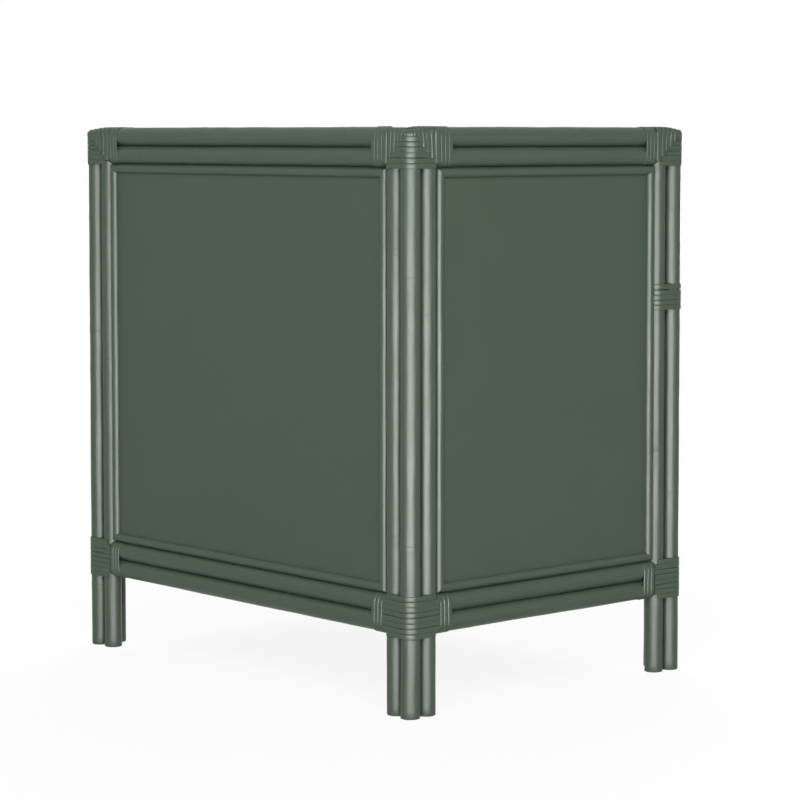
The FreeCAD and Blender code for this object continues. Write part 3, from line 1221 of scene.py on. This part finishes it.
@dataclass
class Bindings:
    """The strips of peel that tie the case together, made for one master post and laid at every post.

    Attributes:
        layout: The case's places.
        width: A strip's width.
        thickness: Their thickness.
        lift: The gap under a strip.
        pitch: The step from strip to strip.
        cap_step: The step from strip to strip over a post's head.
        cap_room: How far the outermost of them stays off the post's edge.
        turns: Turns in a band.
        foot_rows: Strips round a post at the bottom rails.
        head_rows: Strips round a post's head.
        mid_rows: Strips round a front post at the middle rail.
        caps: Strips over each face of a post's head, from its edge to the corner.
        crown: The strip that closes the head at the corner.
        tuck: The turn of a middle strip's end round the side pole.
        edge_tuck: The turn of an outermost strip's ends round the poles beside the corner pole.
        stray: How far a strip strays from its path.
        stray_rate: How often it does so, per metre.
        shift: How far a strip strays from its row.
        slack: How much narrower than its row a loose strip is.
        slant: How far a band may lean, as a share of its height.
        slip: How far the topmost strip at the middle rail has slipped up.
        crease: The least angle, in degrees, at which an edge of a strip stays sharp.
        seed: The first post's seed.
        seed_room: How many seeds each kind of binding has to itself.
    """

    layout: Layout
    width: float = 5.95 * MM
    thickness: float = 1.18 * MM
    lift: float = 0.1 * MM
    pitch: float = 6.05 * MM
    cap_step: float = 6.6 * MM
    cap_room: float = 1.2 * MM
    turns: int = 3
    foot_rows: int = 8
    head_rows: int = 6
    mid_rows: int = 5
    caps: tuple[CapStrip, ...] = (
        CapStrip(8.1 * MM, 0.0, 6.0 * MM, 0.0),
        CapStrip(6.6 * MM, 0.0, 6.0 * MM, 0.03),
        CapStrip(6.6 * MM, 0.2 * MM, 6.0 * MM, 0.06),
        CapStrip(6.6 * MM, 0.9 * MM, 6.0 * MM, 0.09),
        CapStrip(6.6 * MM, 2.0 * MM, 5.5 * MM, 0.1),
        CapStrip(6.4 * MM, 3.2 * MM, 5.0 * MM, 0.07),
    )
    crown: CapStrip = CapStrip(8.0 * MM, 3.2 * MM, 3.6 * MM, 0.0)
    tuck: float = math.radians(84.0)
    edge_tuck: float = math.radians(24.0)
    stray: float = 0.1 * MM
    stray_rate: float = 45.0
    shift: float = 0.14 * MM
    slack: float = 0.5 * MM
    slant: float = 0.045
    slip: float = 0.8 * MM
    crease: float = 38.0
    seed: int = 1000
    seed_room: int = 20

    @property
    def core(self) -> float:
        """The gap from a pole's skin to the middle of a strip."""
        return self.lift + self.thickness / 2

    def place(self, strip: Piece, corner: Corner, rise: float, seed: int, across: Axis) -> Piece:
        """Takes a strip from the master post to its own, with the stray of hand work.

        Args:
            strip: The strip as made for the master post.
            corner: Its own post.
            rise: How far it is lifted there.
            seed: Keeps its stray its own.
            across: The direction of its width.

        Returns:
            The same strip.
        """
        dice = random.Random(seed)
        lean = dice.uniform(0.0, self.slant)
        aside = across.vector * dice.uniform(-self.shift, self.shift)
        top = max(point.co.z for point in strip.data.vertices)
        offset = drift(seed, PEEL_DRIFT)
        for point in strip.data.vertices:
            sway = noise.noise_vector(point.co * self.stray_rate + offset)
            if across is not Axis.Z:
                sway.z = min(sway.z, 0.0)
                point.co -= across.vector * (lean * (top - point.co.z))
            point.co += (sway + across.vector * sway[across.index]) * self.stray
        move = Matrix.Translation(self.layout.middle + Vector((0, 0, rise)) + aside)
        strip.data.transform(move @ corner.mirror)
        if corner.mirror.determinant() < 0:
            strip.data.flip_normals()
        return strip

    def finish(self, name: str, parts: Sequence[Piece], across: Axis, node: str) -> Piece:
        """Joins the strips of one binding and paints them.

        Args:
            name: The binding's name.
            parts: Its strips.
            across: The direction of their width.
            node: The node that it stands for.

        Returns:
            The binding.
        """
        piece = Bench.join(name, parts)
        Bench.smooth(piece, self.crease)
        return set_in(piece, "case", PEEL_PAINT[across], node)

    def arm(self, end: RowEnd) -> list[tuple[float, float]]:
        """The path of a strip from where it leaves a corner pole to one end.

        Args:
            end: The end.

        Returns:
            Points as reach from the outer corner and height over the post's outer face.
        """
        place = self.layout
        lean, rise = math.sin(place.taut), math.cos(place.taut)
        round_r, flank_r = place.corner_r + self.core, place.flank_r + self.core
        leave = (place.corner_r + round_r * lean, round_r * rise - place.corner_r)
        floor = self.core - place.set_back
        if end.tuck:
            return [leave, (place.flank_reach + flank_r * lean, floor - flank_r * (1 - rise))]
        if end.reach > place.flank_reach:
            crest = (place.flank_reach + flank_r * math.tan(place.taut / 2), floor)
            return [leave, crest, (end.reach, floor)]
        return [leave, (end.reach, leave[1] - (end.reach - leave[0]) * math.tan(place.taut))]

    def course(self, face_end: RowEnd, side_end: RowEnd, width: float) -> Piece:
        """A strip laid round the outside of the master post, its middle at the height of nothing.

        Args:
            face_end: Its end on the front or back.
            side_end: Its end on the side.
            width: Its width.

        Returns:
            The strip.
        """
        place, up = self.layout, Axis.Z.vector
        face = [Vector((place.out.x - u, place.out.y + n, 0)) for u, n in reversed(self.arm(face_end))]
        side = [Vector((place.out.x + n, place.out.y - u, 0)) for u, n in self.arm(side_end)]
        axis = place.set_back + place.flank_r
        face_pole = Vector((place.flank.x, place.out.y - axis, 0))
        side_pole = Vector((place.out.x - axis, place.flank.y, 0))
        lead = face[1] - face[0]
        out = Vector((-lead.y, lead.x, 0)).normalized()
        turn_in = face_end.tuck - place.taut
        start = face[0]
        if face_end.tuck:
            out.rotate(Matrix.Rotation(turn_in, 3, up))
            start = face_pole + out * (place.flank_r + self.core)
        strip = PeelStrip.start(start, up, out, width, self.thickness, Section.FLAT)
        moves = [strip.turn(face_pole, up, -turn_in)] if face_end.tuck else []
        moves += [strip.run(far - near) for near, far in zip(face, face[1:])]
        moves.append(strip.turn(place.corner, up, -QUARTER_TURN - 2 * place.taut))
        moves += [strip.run(far - near) for near, far in zip(side, side[1:])]
        if side_end.tuck:
            moves.append(strip.turn(side_pole, up, place.taut - side_end.tuck))
        return strip.lay(*moves)

    def row_ends(self, count: int) -> list[RowEnd]:
        """The ends of a binding's rows: the outermost turn in round the poles, the others lie flat."""
        outer = [RowEnd(self.layout.flank_reach, self.edge_tuck)]
        return outer + [RowEnd(self.layout.reach)] * (count - 2) + outer

    def row_widths(self, count: int, seed: int) -> list[float]:
        """The widths of a binding's rows, of which a few are loose and leave their joints open."""
        loose = random.Random(seed).sample(range(1, count - 1), count // 3)
        return [self.pitch - (self.slack if row in loose else 0.0) for row in range(count)]

    def pair_band(self, face: Axis, rails: tuple[float, float], section: Section) -> Piece:
        """A strip wound round a pair of rails beside the master post.

        Args:
            face: X for the front and back, Y for the sides.
            rails: The heights of the two rails.
            section: The strip's cut end.

        Returns:
            The band, one unbroken strip.
        """
        place = self.layout
        side = Axis.Y if face is Axis.X else Axis.X
        along, out = face.vector, side.vector
        hand = 1 if face is Axis.X else -1
        radius = place.rail_r + self.core
        axis_n = place.rail[side.index]
        low, high = rails
        first = place.flank_edge[face.index] - self.pitch / 2
        start = along * first + out * (axis_n - radius) + Vector((0, 0, high))
        strip = PeelStrip.start(start, along, -out, self.width, self.thickness, section)
        upper, lower = out * axis_n + Vector((0, 0, high)), out * axis_n + Vector((0, 0, low))
        fall = Vector((0, 0, high - low))
        moves = []
        for number in range(self.turns):
            moves.append(strip.turn(upper, along, -hand * HALF_TURN))
            moves.append(strip.run(-fall))
            moves.append(strip.turn(lower, along, -hand * HALF_TURN))
            if number < self.turns - 1:
                moves.append(strip.run(fall - along * self.pitch))
        return strip.lay(*moves)

    def mid_band(self) -> Piece:
        """A strip wound round the middle rail and the batten behind it, beside the master post.

        Returns:
            The band, one unbroken strip.
        """
        place = self.layout
        along, out = Axis.X.vector, Axis.Y.vector
        radius = place.rail_r + self.core
        bend = self.core + self.lift
        tail = place.batten_back - self.core + bend
        first = place.flank_edge.x - self.pitch / 2
        start = Vector((first, tail, place.mid_rail + radius))
        strip = PeelStrip.start(start, along, Axis.Z.vector, self.width, self.thickness, Section.SHAVED)
        rail = Vector((0, place.rail.y, place.mid_rail))
        depth = out * (place.rail.y - tail)
        bends = [Vector((0, tail, place.mid_rail + side * (radius - bend))) for side in (-1, 1)]
        rise = Vector((0, 0, 2 * (radius - bend)))
        moves = []
        for number in range(self.turns):
            moves.append(strip.run(depth))
            moves.append(strip.turn(rail, along, -HALF_TURN))
            moves.append(strip.run(-depth))
            moves.append(strip.turn(bends[0], along, -QUARTER_TURN))
            if number < self.turns - 1:
                moves.append(strip.run(rise - along * self.pitch))
                moves.append(strip.turn(bends[1], along, -QUARTER_TURN))
        return strip.lay(*moves)

    def cap(
        self, strip: CapStrip, foot: Vector, along: Vector, out: Vector, z_top: float, section: Section
    ) -> Piece:
        """A strip that comes up the master post and turns over its head.

        Args:
            strip: Its shape.
            foot: The middle of its lower end, on the post's outer face.
            along: The direction of its width.
            out: The direction out of the post.
            z_top: The height that it lies on.
            section: Its cut end.

        Returns:
            The strip.
        """
        up = Axis.Z.vector
        peel = PeelStrip.start(foot + out * self.core, along, out, strip.width, self.thickness, section)
        rise = z_top - strip.drop - strip.shoulder - foot.z
        bend = foot + up * rise - out * strip.shoulder
        turn = QUARTER_TURN if along.cross(out).z > 0 else -QUARTER_TURN
        piece = peel.lay(
            peel.run(up * rise),
            peel.turn(bend, along, turn),
            peel.run(out * (strip.shoulder - 2 * self.layout.flank_r)),
        )
        for point in piece.data.vertices:
            point.co += along * (strip.lean * (point.co.z - foot.z))
        return piece

    def laid_rows(
        self, corner: Corner, seed: int, low: float, ends: Sequence[tuple[RowEnd, RowEnd, float]]
    ) -> list[Piece]:
        """Rows laid one above the other.

        Args:
            corner: The post.
            seed: Keeps their stray their own.
            low: The height of the first row's middle.
            ends: For each row its ends on the face and on the side and its width.

        Returns:
            The laid strips.
        """
        return [
            self.place(self.course(*row_ends), corner, low + row * self.pitch, seed + row, Axis.Z)
            for row, row_ends in enumerate(ends)
        ]

    def rows(self, corner: Corner, seed: int) -> list[Piece]:
        """The strips laid round one post, at its foot, its head and, on the front, half way up.

        Args:
            corner: The post.
            seed: Keeps their stray their own.

        Returns:
            The bindings.
        """
        place, made = self.layout, []
        low = sum(place.foot_rails) / 2 - (self.foot_rows - 1) * self.pitch / 2
        spans = self.row_ends(self.foot_rows)
        widths = self.row_widths(self.foot_rows, seed)
        parts = self.laid_rows(corner, seed, low, list(zip(spans, spans, widths)))
        made.append(self.finish(f"foot_courses_{corner.word}", parts, Axis.Z, "bottom_courses"))
        seed += self.seed_room
        low = self.head_low + self.pitch / 2
        spans = [RowEnd(place.reach - self.cap_room - row * self.cap_step) for row in range(self.head_rows)]
        spans[0] = self.row_ends(self.head_rows)[0]
        widths = self.row_widths(self.head_rows, seed)
        parts = self.laid_rows(corner, seed, low, list(zip(spans, spans, widths)))
        made.append(self.finish(f"head_courses_{corner.word}", parts, Axis.Z, "top_courses"))
        if corner.is_front:
            seed += self.seed_room
            low = place.mid_rail - (self.mid_rows - 1) * self.pitch / 2
            tucked = [RowEnd(place.flank_reach, self.tuck)] * self.mid_rows
            spans, widths = self.row_ends(self.mid_rows), self.row_widths(self.mid_rows, seed)
            parts = self.laid_rows(corner, seed, low, list(zip(spans, tucked, widths)))
            parts[-1].data.transform(Matrix.Translation((0, 0, self.slip)))
            made.append(self.finish(f"mid_courses_{corner.word}", parts, Axis.Z, "mid_courses"))
        return made

    @property
    def head_low(self) -> float:
        """The height at which the binding of a post's head starts."""
        return self.layout.head_rails[0] - self.layout.rail_r - self.lift - self.thickness

    def head_caps(self, corner: Corner, seed: int) -> list[Piece]:
        """The strips over one post's head, those of the side crossing over those of the front or back.

        Args:
            corner: The post.
            seed: Keeps their stray their own.

        Returns:
            One piece for each face.
        """
        place, made, dice = self.layout, [], random.Random(seed)
        top = place.post_top + self.core
        for face, z_top in ((Axis.X, top), (Axis.Y, top + self.thickness + self.lift)):
            along, out = face.vector, (Axis.Y if face is Axis.X else Axis.X).vector
            parts = []
            for index, shape in enumerate(self.caps, 1):
                reach = place.reach - self.cap_room - index * self.cap_step + shape.width / 2
                back = min(place.set_back, max(reach - place.corner_r, 0.0) * math.tan(place.taut))
                foot = along * (place.out[face.index] - reach) + out * (place.out.dot(out) - back)
                foot.z = self.head_low + index * self.pitch
                strip = self.cap(shape, foot, along, out, z_top, dice.choice((Section.SHAVED, Section.EASED)))
                parts.append(self.place(strip, corner, 0.0, seed + index, face))
            if face is Axis.X:
                along, out = Vector((1, -1, 0)).normalized(), Vector((1, 1, 0)).normalized()
                foot = place.corner + out * place.corner_r
                foot.z = self.head_low + len(self.caps) * self.pitch
                strip = self.cap(self.crown, foot, along, out, z_top, Section.FLAT)
                parts.append(self.place(strip, corner, 0.0, seed, face))
            name = f"head_caps_{corner.word}_{face.name.lower()}"
            made.append(self.finish(name, parts, face, "top_cap_strips"))
            seed += self.seed_room // 2
        return made

    def bands(self, corner: Corner, seed: int) -> list[Piece]:
        """The bands wound round the rails beside one post.

        Args:
            corner: The post.
            seed: Keeps their stray their own.

        Returns:
            The bands.
        """
        place, made = self.layout, []
        kinds = (
            ("foot", place.foot_rails, Section.SHAVED, "bottom_rail_bands"),
            ("head", place.head_rails, Section.EASED, "top_rail_bands"),
        )
        for word, rails, section, node in kinds:
            for face in (Axis.X, Axis.Y):
                part = self.place(self.pair_band(face, rails, section), corner, 0.0, seed, face)
                made.append(self.finish(f"{word}_band_{corner.word}_{face.name.lower()}", [part], face, node))
                seed += 1
        if corner.is_front:
            part = self.place(self.mid_band(), corner, 0.0, seed, Axis.X)
            made.append(self.finish(f"mid_band_{corner.word}", [part], Axis.X, "mid_rail_bands"))
        return made

    def build(self) -> list[Piece]:
        """Makes all the bindings.

        Returns:
            The bindings, post by post.
        """
        made = []
        for number, corner in enumerate(Corner):
            seed = self.seed + 10 * self.seed_room * number
            made += self.rows(corner, seed)
            made += self.head_caps(corner, seed + 3 * self.seed_room)
            made += self.bands(corner, seed + 5 * self.seed_room)
        return made


@dataclass
class Beading:
    """The beads that frame the back, the sides and the drawer front.

    Attributes:
        stray: How far the beads stray.
    """

    stray: Stray

    def build(self) -> list[Piece]:
        """Makes all the bead frames.

        Returns:
            The sticks, frame by frame.
        """
        front, back = -Axis.Y.vector, Axis.Y.vector
        left, right = -Axis.X.vector, Axis.X.vector
        frames = [
            BeadFrame("back_panel_beads", "case", Axis.X, back, self.stray, 301),
            BeadFrame("left_panel_beads", "case", Axis.Y, left, self.stray, 311),
            BeadFrame("right_panel_beads", "case", Axis.Y, right, self.stray, 321),
            BeadFrame("drawer_front_beads", "drawer", Axis.X, front, self.stray, 331),
        ]
        return [stick for frame in frames for stick in frame.build()]


@dataclass
class Knob:
    """The drawer's turned knob.

    Attributes:
        node: The node that it stands for.
        sides: Sides that stand for its round.
        levels: How often its facets are divided to soften it.
        shape: Its outline from the foot to the tip: shares of its length and of its radius.
    """

    node: str = "drawer_knob"
    sides: int = 32
    levels: int = 2
    shape: tuple[tuple[float, float], ...] = (
        (0.1, 0.64),
        (0.16, 0.5),
        (0.3, 0.42),
        (0.44, 0.56),
        (0.54, 0.96),
        (0.66, 1.0),
        (0.86, 0.97),
        (0.97, 0.72),
        (1.0, 0.3),
    )

    def build(self) -> list[Piece]:
        """Turns the knob.

        Returns:
            The knob alone.
        """
        low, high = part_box(self.node)
        middle = (low + high) / 2
        foot = Vector((middle.x, high.y, middle.z))
        radius, length = (high.x - low.x) / 2, high.y - low.y
        Bench.clear()
        bpy.ops.mesh.primitive_circle_add(
            vertices=self.sides,
            radius=radius * self.shape[0][1],
            fill_type="NGON",
            location=foot,
            rotation=(QUARTER_TURN, 0, 0),
        )
        piece = Bench.new("turned_drawer_knob")
        done, wide = 0.0, self.shape[0][1]
        with Bench.editing(piece):
            for along, share in self.shape:
                step = (0, (done - along) * length, 0)
                bpy.ops.mesh.extrude_region_move(TRANSFORM_OT_translate={"value": step})
                spot = foot - Vector((0, along * length, 0))
                scale = share / wide
                bpy.ops.transform.resize(value=(scale, 1, scale), center_override=spot)
                done, wide = along, share
            bpy.ops.mesh.select_all(action="SELECT")
            bpy.ops.mesh.normals_make_consistent(inside=False)
        soften = piece.modifiers.new("soften", "SUBSURF")
        soften.levels = self.levels
        soften.render_levels = self.levels
        Bench.hold(piece)
        bpy.ops.object.modifier_apply(modifier=soften.name)
        Bench.smooth(piece)
        return [set_in(piece, "drawer", BOARD_PAINT, self.node)]


@dataclass
class Boards:
    """The nodes that are right as they are and only get their finish.

    Attributes:
        nodes: The frame's nodes by name.
    """

    nodes: dict[str, Piece]

    def build(self) -> list[Piece]:
        """Finishes the boards, the battens and the screw.

        Returns:
            The finished nodes.
        """
        painted = ("back_panel", "left_panel", "right_panel", "top_board", "floor_board", "divider_board")
        finishes = dict.fromkeys((*painted, "drawer_front", "mid_rail_batten", "divider_cleats"), BOARD_PAINT)
        along_y = ("drawer_left_side", "drawer_right_side", "drawer_runners", "drawer_kickers")
        finishes |= dict.fromkeys(along_y, SIDE_WOOD)
        along_x = ("drawer_back", "drawer_bottom", "top_cleats", "floor_cleats")
        finishes |= dict.fromkeys(along_x, CROSS_WOOD)
        finishes["knob_screw"] = SCREW_STEEL
        for name, finish in finishes.items():
            dress(self.nodes[name], finish)
        return [self.nodes[name] for name in finishes]


class Role(Enum):
    """What a lamp is for."""

    LIGHT = "lights the piece"
    SHINE = "shows in its gloss"


@dataclass(frozen=True)
class Lamp:
    """A soft box that looks at the middle of the piece.

    Attributes:
        name: Its name.
        bearing: Where it stands round the piece, in degrees.
        height: Its height above the piece's middle, in degrees.
        distance: Its distance, in metres.
        size: Its width and height, in metres.
        power: Its power, in watts.
        role: What it is for.
    """

    name: str
    bearing: float
    height: float
    distance: float
    size: tuple[float, float]
    power: float
    role: Role

    def build(self, target: Vector) -> None:
        """Sets the lamp up.

        Args:
            target: The point that it looks at.
        """
        turn, rise = math.radians(self.bearing), math.radians(self.height)
        level = math.cos(rise)
        away = Vector((math.sin(turn) * level, -math.cos(turn) * level, math.sin(rise)))
        data = bpy.data.lights.new(self.name, "AREA")
        data.shape = "RECTANGLE"
        data.size, data.size_y = self.size
        data.energy = self.power
        lamp = bpy.data.objects.new(self.name, data)
        bpy.context.scene.collection.objects.link(lamp)
        lamp.location = target + away * self.distance
        lamp.rotation_euler = away.to_track_quat("Z", "Y").to_euler()
        lamp.visible_diffuse = self.role is Role.LIGHT
        lamp.visible_glossy = self.role is Role.SHINE


@dataclass
class Studio:
    """The camera, the lamps and the pale floor.

    Attributes:
        middle: The middle of the case on the floor.
        bearing: Where the camera stands round the piece, in degrees.
        distance: Its distance from the middle.
        aside: How far it stands to the right of that line.
        eye: Its height.
        pitch: How far it looks down, in degrees.
        lens: Its focal length, in millimetres.
        shift: How far its picture is moved up, as a share of the picture's width.
        aim: The height that the lamps look at.
        ambient: The light that comes from all round.
        floor_size: The floor's length and width.
        floor_glow: How much of the floor's white near the piece is its own.
        glow_near: How far from the middle the floor's own white starts to grow.
        glow_far: How far from the middle it is all its own.
    """

    middle: Vector
    bearing: float = 228.38
    distance: float = 3.334
    aside: float = 0.0279
    eye: float = 0.6515
    pitch: float = 3.73
    lens: float = 120.91
    shift: float = -0.1125
    aim: float = 0.36
    ambient: float = 0.25
    floor_size: float = 60.0
    floor_glow: float = 0.9
    glow_near: float = 0.5
    glow_far: float = 2.2

    def camera(self) -> None:
        """Sets the camera where the photograph was taken from."""
        turn = math.radians(self.bearing)
        back = Vector((math.sin(turn), -math.cos(turn), 0))
        right = Vector((math.cos(turn), math.sin(turn), 0))
        data = bpy.data.cameras.new("camera")
        data.lens = self.lens
        data.shift_y = self.shift
        camera = bpy.data.objects.new("camera", data)
        bpy.context.scene.collection.objects.link(camera)
        camera.location = self.middle + back * self.distance + right * self.aside + Vector((0, 0, self.eye))
        camera.rotation_euler = (QUARTER_TURN - math.radians(self.pitch), 0, turn)
        bpy.context.scene.camera = camera

    def seen(self, graph: Graph) -> Signal:
        """1 for rays that show the background itself, 0 for those that only carry its light.

        Args:
            graph: The material or world that asks.

        Returns:
            The number.
        """
        path = graph.node("ShaderNodeLightPath")
        kinds = ("Is Camera Ray", "Is Glossy Ray", "Is Transmission Ray")
        rays = [Signal(graph, path.outputs[kind]) for kind in kinds]
        return rays[0] + rays[1] + rays[2]

    def floor(self) -> None:
        """Lays a pale floor that keeps the shadow near the piece and runs out into white."""
        Bench.clear()
        bpy.ops.mesh.primitive_plane_add(size=self.floor_size, location=self.middle)
        floor = Bench.new("studio_floor")
        graph = Graph(bpy.data.materials.new("floor_white"))
        pale = graph.node("ShaderNodeBsdfDiffuse", None, {"Color": PALE})
        glow = graph.node("ShaderNodeEmission", None, {"Color": WHITE})
        away = graph.node("ShaderNodeVectorMath", {"operation": "LENGTH"}, {0: graph.place()})
        fade = {0: away.outputs["Value"], 1: self.glow_near, 2: self.glow_far, 3: self.floor_glow, 4: 1.0}
        share = graph.node("ShaderNodeMapRange", {"interpolation_type": "SMOOTHSTEP"}, fade)
        share = Signal(graph, share.outputs[0]) * self.seen(graph)
        mixed = graph.node("ShaderNodeMixShader", None, {0: share, 1: pale.outputs[0], 2: glow.outputs[0]})
        graph.node("ShaderNodeOutputMaterial", None, {"Surface": mixed.outputs[0]})
        floor.data.materials.append(graph.owner)

    def world(self) -> None:
        """Surrounds the piece with white that lights it gently."""
        world = bpy.data.worlds.new("studio")
        bpy.context.scene.world = world
        graph = Graph(world)
        strength = self.ambient + (1 - self.ambient) * self.seen(graph)
        light = graph.node("ShaderNodeBackground", None, {"Color": WHITE, "Strength": strength})
        graph.node("ShaderNodeOutputWorld", None, {"Surface": light.outputs[0]})

    def build(self) -> None:
        """Sets the whole studio up."""
        bpy.context.scene.view_settings.view_transform = "Standard"
        target = self.middle + Vector((0, 0, self.aim))
        lamps = [
            Lamp("key", self.bearing - 2, 32.0, 3.6, (2.6, 1.2), 113.0, Role.LIGHT),
            Lamp("left_fill", self.bearing - 96, 25.0, 3.6, (1.6, 1.6), 8.0, Role.LIGHT),
            Lamp("right_fill", self.bearing + 92, 25.0, 3.6, (1.6, 1.6), 8.0, Role.LIGHT),
            Lamp("front_fill", self.bearing + 175, 36.0, 3.6, (2.6, 1.2), 110.0, Role.LIGHT),
            Lamp("shine", self.bearing + 3, 2.2, 3.6, (4.4, 0.28), 235.0, Role.SHINE),
            Lamp("low_shine", self.bearing + 3, -7.0, 2.2, (2.8, 0.18), 150.0, Role.SHINE),
            Lamp("front_shine", self.bearing + 175, 2.2, 3.6, (4.4, 0.28), 160.0, Role.SHINE),
        ]
        for lamp in lamps:
            lamp.build(target)
        self.floor()
        self.world()
        self.camera()


def main() -> None:
    """Dresses the nightstand piece by piece."""
    logging.basicConfig(level=logging.INFO, format="%(name)s: %(message)s")
    noise.seed_set(NOISE_SEED)
    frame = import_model()
    layout = Layout.read()
    pole_stray = Stray()
    bead_stray = Stray(sway=0.2 * MM, swell=0.16 * MM)
    assemblies = [
        Posts(pole_stray),
        Rails(pole_stray),
        Beading(bead_stray),
        Bindings(layout),
        Knob(),
        Boards(frame["nodes"]),
    ]
    for assembly in assemblies:
        for piece in assembly.build():
            LOG.info("%s: %d faces", piece.name, len(piece.data.polygons))
    Studio(layout.middle).build()


if __name__ == "__main__":
    main()
